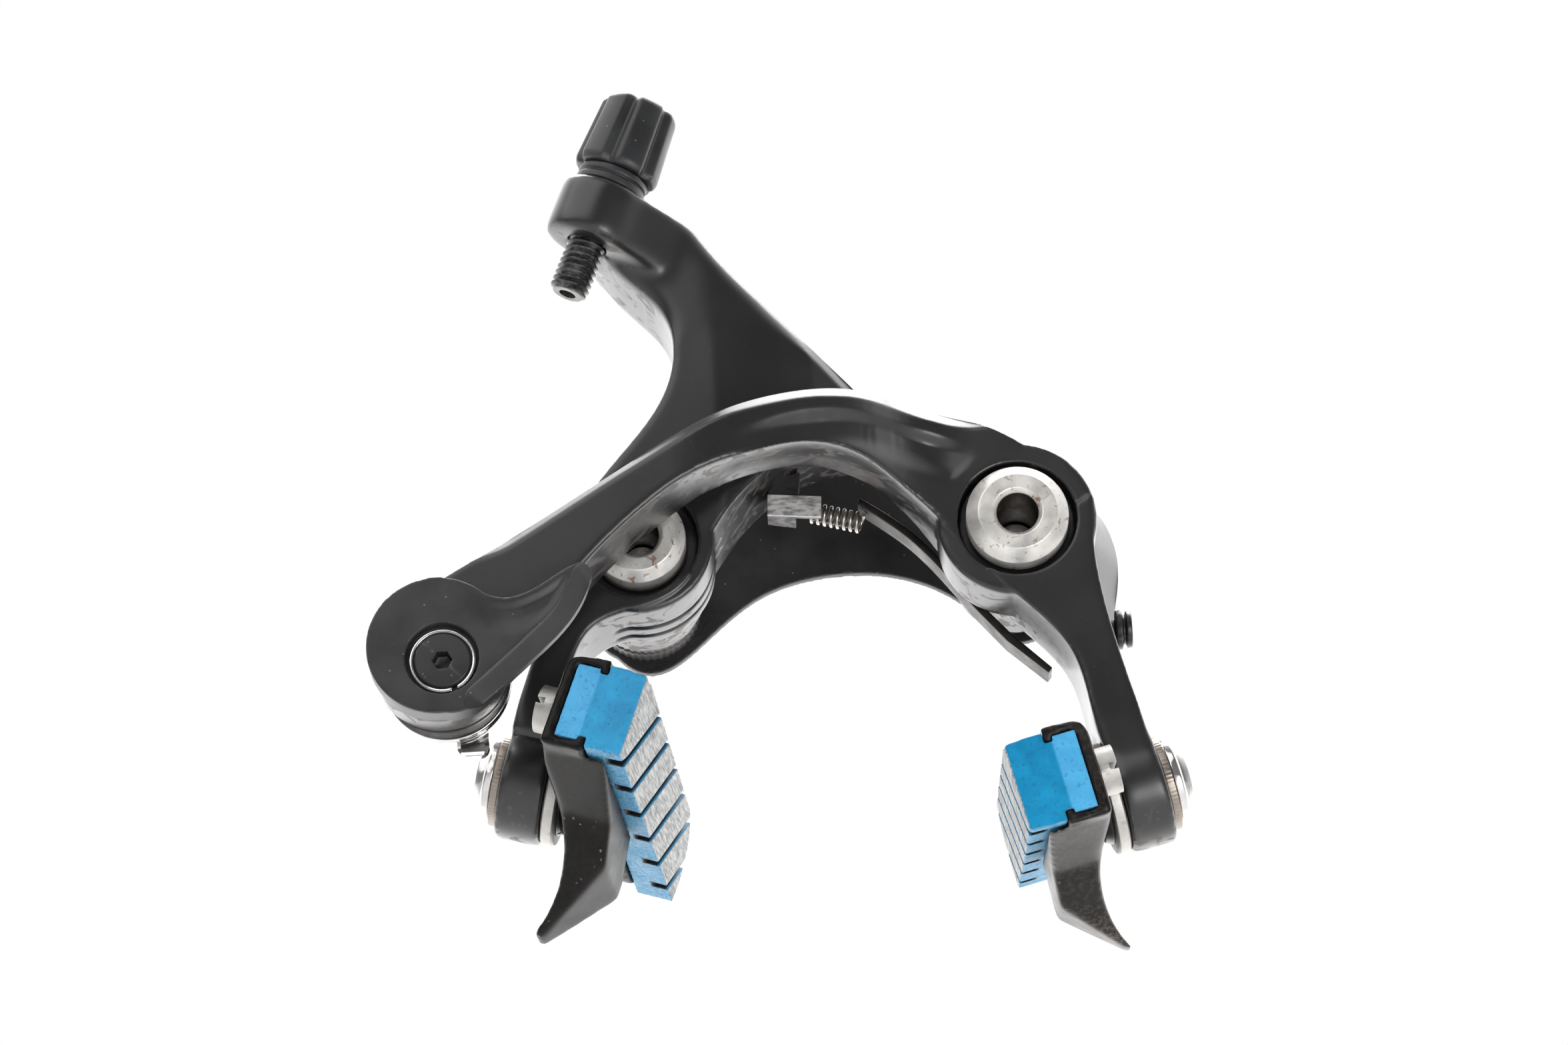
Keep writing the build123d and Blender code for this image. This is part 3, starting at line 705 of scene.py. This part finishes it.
def front_arm():
    """Forged arm with soft edges, and a shallow pocket below the lip along the top of its arch."""
    arch_top = curve_points(ARCH_TOP)
    piece = skin("front_arm", ARM_VOXEL, 2)
    co, _ = points(piece)
    # the bevel along the arch's top widens to the right and fades out at both ends
    width = 1.3 + 0.7 * step(co[:, 0], -18, -6)
    width = width * step(co[:, 0], -54, -46) * (1 - step(co[:, 0], 18, 29))
    front = front_along_x(co)
    bevel_edge(co, arch_top, front, width)
    # the bulge behind the hub falls away to its side
    behind = co[:, 1] > BULGE_FRONT - 0.8
    side = co[behind]
    bevel_edge(side, curve_points(BULGE_EDGE), BULGE_FRONT, *BULGE_BEVEL)
    co[behind] = side
    # the arch's lower edge hangs further down at the front than at the back
    span = step(co[:, 0], -24, -8) * (1 - step(co[:, 0], 10, 23))
    down = 1 - step(distance_to(curve_points(ARCH_LOW), co), 0.5, 4.5)
    co[:, 2] -= ARCH_DROP * span * down * (1 - step(co[:, 1] - front, 0.0, 12.0))
    move(piece, co)
    # soft edges, but a crisp bore and lip
    weights = hold_bore(co, PIVOT_X)
    lower = step(-co[:, 2], 24, 30)
    smooth(piece, LEG_PASSES, step(-co[:, 2], 29, 36))
    co, _ = points(piece)
    edge = distance_to(arch_top, co)
    lip = 1 - 0.75 * step(-edge, -4.0, -3.4) * step(co[:, 2], -16, -8)
    smooth(piece, 24, weights * (1 - 0.4 * lower) * lip)
    # the pocket, in the arch's front face and clear of the hub
    co, normal = points(piece)
    far = distance_to(arch_top, co)
    front = step(-normal[:, 1], 0.5, 0.85)
    ring = step(off_axis(co, PIVOT_X, 0), 10.5, 12.0)
    span = step(co[:, 0], -16, 0) * (1 - step(co[:, 0], 15, 23))
    pocket = step(far, 3.4, 5.6) * (1 - step(far, 7.0, 11.0))
    co[:, 1] += POCKET * front * ring * span * pocket
    move(piece, co)
    place_piece(piece, "front_arm", ARM)


def rear_arm():
    """Forged arm with a bevel along its web, its eye flowing into it, and a grooved hub."""
    web_edge = curve_points(WEB_EDGE)
    piece = skin("rear_arm", ARM_VOXEL, 2)
    co, _ = points(piece)
    bevel_edge(co, web_edge, front_along_x(co), 1.6 * step(co[:, 0], -21.5, -17))
    move(piece, co)
    # soft edges, but a crisp bore and web
    weights = hold_bore(co, -PIVOT_X)
    lower = step(-co[:, 2], 20, 26)
    smooth(piece, LEG_PASSES, step(-co[:, 2], 23, 30))
    co, _ = points(piece)
    edge = 1 - 0.7 * step(-distance_to(web_edge, co), -2.6, -2.0)
    smooth(piece, 26, weights * (1 - 0.4 * lower) * edge)
    # the eye, apart from its bore
    co, _ = points(piece)
    flat = inside(ADJUSTER, co)
    bore = step(np.hypot(flat[:, 0], flat[:, 1]), 3.6, 4.6)
    smooth(piece, EYE_PASSES, bore * step(co[:, 2], 30, 38))
    co, normal = points(piece)
    # grooves round the pivot's hub
    out = co[:, [0, 2]] - np.array([-PIVOT_X, 0])
    reach = np.hypot(out[:, 0], out[:, 1])
    side = 1 - np.abs(normal[:, 1])
    hub = step(side, 0.3, 0.7) * (1 - step(reach, 11.8, 12.6)) * step(reach, 8.6, 9.0)
    dip = sum(depth * np.exp(-(((co[:, 1] - y) / width) ** 2)) for y, width, depth in HUB_GROOVES)
    co[:, [0, 2]] -= out / reach[:, None] * (hub * dip)[:, None]
    move(piece, co)
    place_piece(piece, "rear_arm", ARM)


def booster_plate():
    """The plate behind both arms, its edges soft."""
    piece = skin("booster_plate", 0.2, 3)
    place_piece(piece, "booster_plate", PLATE)


# =================================================================================================
# Pivots
# =================================================================================================
BORE_RADIUS, BORE_FRONT = 3.5, -35.2    # faces within these belong to a bush's bore


def bush(side, flange, flat):
    """Turned bush with a bevelled flange and a step inside its bore. flange is the flange's radius
    and flat the radius of its front face."""
    x = PIVOT_X if side == "right" else -PIVOT_X
    outline = [
        (3.1, -1.6), (5.0, -1.6), (5.0, -31.5), (flange, -31.5), (flange, -34.3), (flat, -36.0),
        (3.7, -36.0), (3.1, -35.3), (3.1, -29.5), (3.35, -29.2), (3.35, -22.0), (3.1, -21.6),
    ]
    piece = turned(f"{side}_bush", outline, along_y(x, 0), soft=0.16)
    place_piece(piece, f"{side}_pivot_bush", BUSH)
    # the bore is painted dark, as shade, with rust spots
    piece.data.materials.append(BORE_SHADE)
    for polygon in piece.data.polygons:
        centre = polygon.center / MM
        if math.hypot(centre.x - x, centre.z) < BORE_RADIUS and centre.y > BORE_FRONT:
            polygon.material_index = 1


def hub_rings():
    """Washer stack behind the right hub, ribbed ring behind the left one."""
    outline = [
        (5.0, -4.9), (7.4, -4.9), (7.4, -3.6), (7.0, -3.4), (7.4, -3.2), (7.4, -1.6), (5.0, -1.6),
    ]
    piece = turned("right_washer_stack", outline, along_y(PIVOT_X, 0), soft=0.15)
    place_piece(piece, "right_rear_washer", ZINC)
    outline = [
        (5.0, -7.7), (8.2, -7.7, "ribs"), (8.2, -5.3, "ribs"), (7.5, -5.1), (7.5, -4.5),
        (8.2, -4.3, "ribs"), (8.2, -1.6, "ribs"), (5.0, -1.6),
    ]
    piece = turned("left_ribbed_ring", outline, along_y(-PIVOT_X, 0), around=288, soft=0.15)
    place_piece(piece, "left_rear_ring", LINER)


def seals():
    """Dark rings round the bushes, and the bearings inside the hubs."""
    outline = [(5.3, -30.0), (7.2, -30.0), (7.2, -31.4), (5.3, -31.4)]
    for side, x in (("right", PIVOT_X), ("left", -PIVOT_X)):
        piece = turned(f"{side}_seal", outline, along_y(x, 0), soft=0.4)
        place_piece(piece, f"{side}_seal_ring", SEAL)
        bevelled(f"{side}_plain_bearing", 0.1, LINER)


# =================================================================================================
# Cable adjuster
# =================================================================================================
STEM_LENGTH = 24.1
STEM_STEPS = 12                         # rings to each millimetre, which is one turn of its thread


def adjuster():
    """Lobed knob, threaded hollow stem and the detent ring between knob and eye."""
    outline = [
        (0, 27.3), (2.3, 27.3), (2.55, 27.6), (2.55, 31.9), (3.0, 32.2, "lobes"),
        (5.2, 32.2, "lobes"), (5.85, 31.3, "lobes"), (6.15, 26.6, "lobes"), (6.5, 21.2, "lobes"),
        (6.1, 20.25, "lobes"), (3.1, 20.2), (3.1, 26.8), (0, 26.9),
    ]
    piece = turned("knob", outline, ADJUSTER, around=192, soft=0.5)
    place_piece(piece, "adjuster_knob", KNOB)
    heights = [n / STEM_STEPS for n in range(1, int(STEM_LENGTH * STEM_STEPS))]
    outline = [(1.3, 0.0), (2.3, 0.0)]
    outline += [(3.0 - max(0.0, 0.5 - height), height, "thread") for height in heights]
    outline += [(2.3, STEM_LENGTH), (1.3, STEM_LENGTH)]
    piece = turned("stem", outline, ADJUSTER, around=48, soft=0.0001)
    place_piece(piece, "adjuster_stem", STEM)
    outline = [
        (3.3, 17.6), (5.4, 17.6), (5.4, 18.6), (5.0, 18.9), (5.4, 19.2), (5.4, 20.1), (3.3, 20.1),
    ]
    piece = turned("detent", outline, ADJUSTER, soft=0.2)
    place_piece(piece, "adjuster_detent", KNOB)


# =================================================================================================
# Quick release and cable clamp
# =================================================================================================
# Lines along the finger's lower edge and its top, as x and z.
FINGER_EDGE = [(-34.7, -12.4), (-37.8, -18.2), (-42.4, -22.8), (-47.2, -27.0), (-51.0, -30.2)]
FINGER_TOP = [(-53.0, -12.2), (-47.4, -14.8), (-42.8, -13.8), (-38.4, -11.2), (-36.0, -10.2)]
FINGER_BEVEL = (2.4, 1.0)               # width and slope
DISH = 0.45                             # depth of the hollow in the finger


def release_lever():
    """Disc and finger, with a bevel along the finger's lower side."""
    finger_edge = curve_points(FINGER_EDGE)
    piece = skin("quick_release_lever", 0.2, 3)
    co, _ = points(piece)
    bevel_edge(co, finger_edge, LEVER_FRONT, *FINGER_BEVEL)
    move(piece, co)
    smooth(piece, 6, step(off_axis(co, *LEVER_AXIS), 6.0, 7.0))
    # the finger's upper half is slightly dished
    co, normal = points(piece)
    front = step(-normal[:, 1], 0.3, 0.7)
    reach = step(co[:, 0], -53, -47)
    top = distance_to(curve_points(FINGER_TOP), co)
    clear = step(distance_to(finger_edge, co), 2.4, 3.6)
    co[:, 1] += DISH * front * reach * step(top, 0.5, 2.0) * (1 - step(top, 3.0, 6.0)) * clear
    move(piece, co)
    place_piece(piece, "quick_release_lever", LEVER)


def lever_hardware():
    """Circlip, socket screw and shaft of the lever, and the cable clamp."""
    bevelled("lever_circlip", 0.12, CHROME)
    y = LEVER_FRONT + 1.0
    outline = [
        (0, y + 2.5), (1.2, y + 2.1, "hex"), (1.25, y, "hex"), (1.7, y - 0.02), (3.9, y),
        (4.2, y + 0.3), (4.2, y + 0.9), (2.4, y + 0.9), (2.4, y + 5.0), (0, y + 5.0),
    ]
    piece = turned("lever_socket_screw", outline, along_y(*LEVER_AXIS), soft=0.12)
    place_piece(piece, "lever_screw", SCREW_BLACK)
    bevelled("release_shaft", 0.2, ZINC)
    outline = [
        (4.3, -44.0), (9.2, -44.0), (9.3, -43.5), (8.7, -43.2), (8.7, -42.8), (9.1, -42.5),
        (9.1, -41.7), (8.8, -41.5), (2.7, -41.5), (2.7, -43.4), (4.3, -43.4),
    ]
    piece = turned("clamp_washer_stack", outline, along_y(*LEVER_AXIS), soft=0.15)
    place_piece(piece, "cable_clamp_washer", CHROME)
    bevelled("cable_clamp_plate", 0.4, CHROME, 3)
    bevelled("cable_clamp_bolt", 0.4, ZINC, 3)


# =================================================================================================
# Spring and small parts
# =================================================================================================
def springs():
    """The return spring, the tab it sits in and the strip that ends in a blade."""
    bevelled("spring_seat", 0.3, TAB)
    bevelled("spring_lever", 0.2, STRIP)
    dress(NODES["return_spring"], SPRING)


def centring_screw():
    """Cap screw with a groove round its head and a hexagon socket."""
    outline = [
        (0, -8.0), (1.2, -8.0), (1.5, -7.6), (1.5, 0.9), (2.9, 1.0), (3.0, 1.9), (2.2, 2.1),
        (2.2, 2.4), (2.8, 2.6), (2.7, 3.4), (1.25, 3.4, "hex"), (1.2, 2.0, "hex"), (0, 1.9),
    ]
    piece = turned("centring_cap_screw", outline, SCREW, around=132, soft=0.2)
    place_piece(piece, "centring_screw", SCREW_BLACK)


# =================================================================================================
# Shoes
# =================================================================================================
PAD_PASSES = 120                        # smoothing of the pads' near corners
GROOVE_DEPTH, GROOVE_HALF = 2.7, 0.85   # how far the grooves' near-black paint reaches: grime, and painted shade
HOLDER_CORNER = 2.6                     # radius along the upper corner of a holder's back
HOLDER_PASSES = 140


def brake_pad(side):
    """Pad with soft edges. Its mesh carries where the braking face and the grooves are."""
    piece = skin(f"{side}_brake_pad", 0.17, 4)
    co, _ = points(piece)
    spot = inside(shoe_frame(side), co)
    sign = SHOES[side]["sign"]
    near = -sign * SHOE_HALF
    end = 1 - step(np.abs(spot[:, 0] - near), 2.0, 4.0)
    smooth(piece, PAD_PASSES, end * step(spot[:, 2] - FACE_HEIGHT, -3.0, -1.5))
    co, _ = points(piece)
    spot = inside(shoe_frame(side), co)
    spot[:, 1] -= SHOES[side]["lift"]
    # how far each point is from the middle of the nearest groove, and which groove that is,
    # counted from the pad's near end
    start = near * 0.87 - math.copysign(5.2, near)
    turn = math.radians(-sign * GROOVE_TURN)
    across = (spot[:, 0] - start) * math.cos(turn) + spot[:, 1] * math.sin(turn)
    spacing = GROOVE_PITCH * math.cos(turn)
    off = np.abs((across + spacing / 2) % spacing - spacing / 2)
    row = np.round(sign * across / spacing)
    depth = FACE_HEIGHT - spot[:, 2]
    within = (depth < GROOVE_DEPTH) & (off < GROOVE_HALF) & (row >= 0) & (row < GROOVES)
    # where the grooves' near-black paint goes: grime, and painted shade
    mark(piece, "groove", within * step(depth, 0.12, 0.5))
    mark(piece, "face", step(-depth, -0.6, -0.25))
    place_piece(piece, f"{side}_brake_pad", pad_finish(side))


def pad_holder(side):
    """Pressed holder with its wheel guide, its edges rounded."""
    place = shoe_frame(side)
    piece = skin(f"{side}_pad_holder", 0.24, 3)
    co, _ = points(piece)
    spot = inside(place, co)
    # the upper corner of its back is well rounded
    over = np.maximum(spot[:, 1] - spot[:, 1].max() + HOLDER_CORNER, 0)
    under = np.maximum(spot[:, 2].min() + HOLDER_CORNER - spot[:, 2], 0)
    far = np.hypot(over, under)
    outside = (over > 0) & (under > 0) & (far > HOLDER_CORNER)
    pull = np.where(outside, 1 - HOLDER_CORNER / np.maximum(far, TINY), 0)
    inward = np.stack([np.zeros(len(co)), -over * pull, under * pull], axis=1)
    co += inward @ np.array(place)[:3, :3].T
    move(piece, co)
    guide = step(-(spot[:, 1] - SHOES[side]["lift"]), 6.6, 8.2)
    back = step(4.6 - spot[:, 2], 0.0, 1.5)
    smooth(piece, HOLDER_PASSES, np.maximum(0.05 + 0.6 * back, 0.5 * guide))
    place_piece(piece, f"{side}_pad_holder", HOLDER[side])


def shoe_hardware(side):
    """Bolt, nut and washers of one shoe, and the pad's screw."""
    arm = arm_frame(side)
    outline = [(3.3, 3.5), (8.0, 3.5), (8.3, 3.8), (8.3, 5.2), (8.0, 5.5), (3.3, 5.5)]
    piece = turned(f"{side}_spacer", outline, arm, soft=0.12)
    place_piece(piece, f"{side}_toe_spacer", ZINC)
    outline = [(3.3, -3.5), (7.0, -3.5, "teeth"), (7.0, -4.6, "teeth"), (6.0, -4.6), (3.3, -4.6)]
    piece = turned(f"{side}_toothed_washer", outline, arm, around=208, soft=0.1)
    place_piece(piece, f"{side}_serrated_washer", BRONZE)
    outline = [
        (3.0, -4.7), (6.3, -4.7), (6.4, -4.9), (6.4, -5.8), (6.0, -6.1), (5.4, -6.1), (5.2, -6.5),
        (4.6, -7.4), (4.0, -7.7), (3.0, -7.7),
    ]
    piece = turned(f"{side}_stepped_nut", outline, arm, soft=0.25)
    place_piece(piece, f"{side}_dome_nut", CHROME)
    bevelled(f"{side}_shoe_bolt", 0.3, CHROME, 3)
    bevelled(f"{side}_toe_cup", 0.3, SCREW_BLACK, 3)
    bevelled(f"{side}_pad_screw", 0.35, ZINC, 3)


front_arm()
rear_arm()
booster_plate()
bush("right", 7.6, 5.8)
bush("left", 7.0, 5.6)
hub_rings()
seals()
adjuster()
release_lever()
lever_hardware()
springs()
centring_screw()
for side in ("left", "right"):
    brake_pad(side)
    pad_holder(side)
    shoe_hardware(side)


# =================================================================================================
# Stage
# =================================================================================================
FLOOR_Z = -0.35                         # well below the caliper
FLOOR_HALF = 4.0                        # half the floor's side
PALE = (0.58, 0.58, 0.58)
GLOW = (1.0, 0.985, 0.98)               # the floor's glow, none in front and full at the back
GLOW_FROM_Y, GLOW_FULL_Y, GLOW_STRENGTH = 0.02, 0.55, 1.8

BRIGHT_WAY = (0.12, 0.98, 0.1)          # the way to the bright side of the studio
DIM, BRIGHT = 0.25, 2.5                 # the studio's strength in front and at the back

CAMERA_BELOW, CAMERA_ROLL = 20, 3.5     # degrees
CAMERA_PLACE = (-0.00639, -0.77285, -0.26778)
CAMERA_LENS, CAMERA_SENSOR = 122.45, 36.0

# place, target, size, watts and tint
LIGHTS = {
    "key": ((-0.5, -0.6, 0.7), (0, -0.02, 0), (1.4, 1.0), 7.5, (1, 1, 1)),
    "top": ((0.05, 0.3, 0.8), (0, 0, 0), (0.9, 0.5), 14.0, (1.0, 0.97, 0.965)),
    "low": ((0.3, -0.6, -0.25), (0, -0.02, -0.02), (0.3, 0.3), 1.8, (1, 1, 1)),
}


def floor():
    """A plain pale floor, well below the caliper. It glows towards the back."""
    mesh = bpy.data.meshes.new("floor")
    corners = [(-1, -1), (1, -1), (1, 1), (-1, 1)]
    spots = [(x * FLOOR_HALF, y * FLOOR_HALF, FLOOR_Z) for x, y in corners]
    mesh.from_pydata(spots, [], [(0, 1, 2, 3)])
    piece = bpy.data.objects.new("floor", mesh)
    bpy.context.scene.collection.objects.link(piece)
    f = Finish("floor_pale", PALE, 0.8)
    f.set("Emission Color", GLOW)
    glow = f.ramp(f.along((0, 1, 0)), GLOW_FROM_Y, GLOW_FULL_Y, 0.0, GLOW_STRENGTH)
    f.set("Emission Strength", glow)
    mesh.materials.append(f.material)


def world():
    """White seen directly. Reflections and soft light see a dim front and a bright back."""
    w = bpy.data.worlds.new("studio")
    bpy.context.scene.world = w
    w.use_nodes = True
    tree = w.node_tree
    nodes, links = tree.nodes, tree.links
    background = nodes["Background"]
    coords = nodes.new("ShaderNodeTexCoord")
    dot = nodes.new("ShaderNodeVectorMath")
    dot.operation = "DOT_PRODUCT"
    links.new(coords.outputs["Generated"], dot.inputs[0])
    dot.inputs[1].default_value = BRIGHT_WAY
    spread = nodes.new("ShaderNodeMapRange")
    spread.interpolation_type = "SMOOTHSTEP"
    links.new(dot.outputs["Value"], spread.inputs["Value"])
    set_range(spread, -0.35, 0.8, DIM, BRIGHT)
    path = nodes.new("ShaderNodeLightPath")
    pick = nodes.new("ShaderNodeMix")
    pick.data_type = "FLOAT"
    links.new(path.outputs["Is Camera Ray"], pick.inputs[0])
    links.new(spread.outputs["Result"], pick.inputs[2])
    pick.inputs[3].default_value = 1.0
    background.inputs["Color"].default_value = (1, 1, 1, 1)
    links.new(pick.outputs[0], background.inputs["Strength"])


def area_light(name, place, target, size, watts, tint):
    data = bpy.data.lights.new(name, "AREA")
    data.shape = "RECTANGLE"
    data.size, data.size_y = size
    data.energy = watts
    data.color = tint
    lamp = bpy.data.objects.new(name, data)
    lamp.location = place
    lamp.rotation_euler = (Vector(target) - Vector(place)).to_track_quat("-Z", "Y").to_euler()
    bpy.context.scene.collection.objects.link(lamp)


def camera():
    """The view from the front, 20 degrees below, turned a little about its own axis."""
    below = math.radians(CAMERA_BELOW)
    roll = math.radians(CAMERA_ROLL)
    ahead = Vector((0, math.cos(below), math.sin(below)))
    right = Vector((1, 0, 0))
    up = right.cross(ahead)
    x = right * math.cos(roll) - up * math.sin(roll)
    y = right * math.sin(roll) + up * math.cos(roll)
    data = bpy.data.cameras.new("camera")
    data.lens = CAMERA_LENS
    data.sensor_width = CAMERA_SENSOR
    data.sensor_fit = "HORIZONTAL"
    data.clip_start = 0.01
    piece = bpy.data.objects.new("camera", data)
    m = Matrix((x, y, -ahead)).transposed().to_4x4()
    m.translation = CAMERA_PLACE
    piece.matrix_world = m
    bpy.context.scene.collection.objects.link(piece)
    bpy.context.scene.camera = piece


floor()
world()
for lamp_name, settings in LIGHTS.items():
    area_light(lamp_name, *settings)
camera()
bpy.context.scene.view_settings.view_transform = "Standard"
